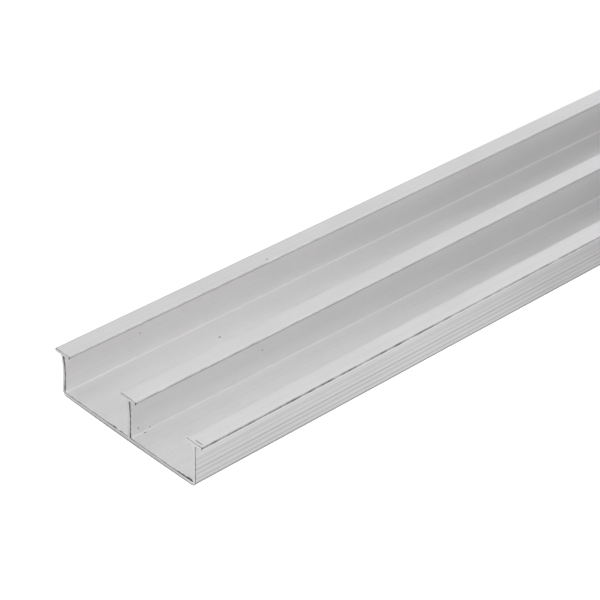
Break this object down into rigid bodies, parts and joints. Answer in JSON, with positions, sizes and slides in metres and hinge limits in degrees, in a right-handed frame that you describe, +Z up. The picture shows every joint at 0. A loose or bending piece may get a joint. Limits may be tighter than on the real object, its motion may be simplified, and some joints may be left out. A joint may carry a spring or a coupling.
{
  "type": "aluminium extrusion profile",
  "caption": "Long aluminium extrusion with a flat base and upright webs capped by T-heads, which make open channels along its length.",
  "frame": {"origin": "middle of the flat underside, halfway along the bar", "axes": "+X along the bar, +Y towards the web of the wider channel, +Z up from the base to the T-heads"},
  "size_m": [1, 0.0874, 0.0206],
  "materials": {
    "mill_aluminium": "satin mill finish with lengthwise die lines"
  },
  "bodies": {
    "root": {"double_channel_profile": "mill_aluminium"}
  },
  "joints": []
}
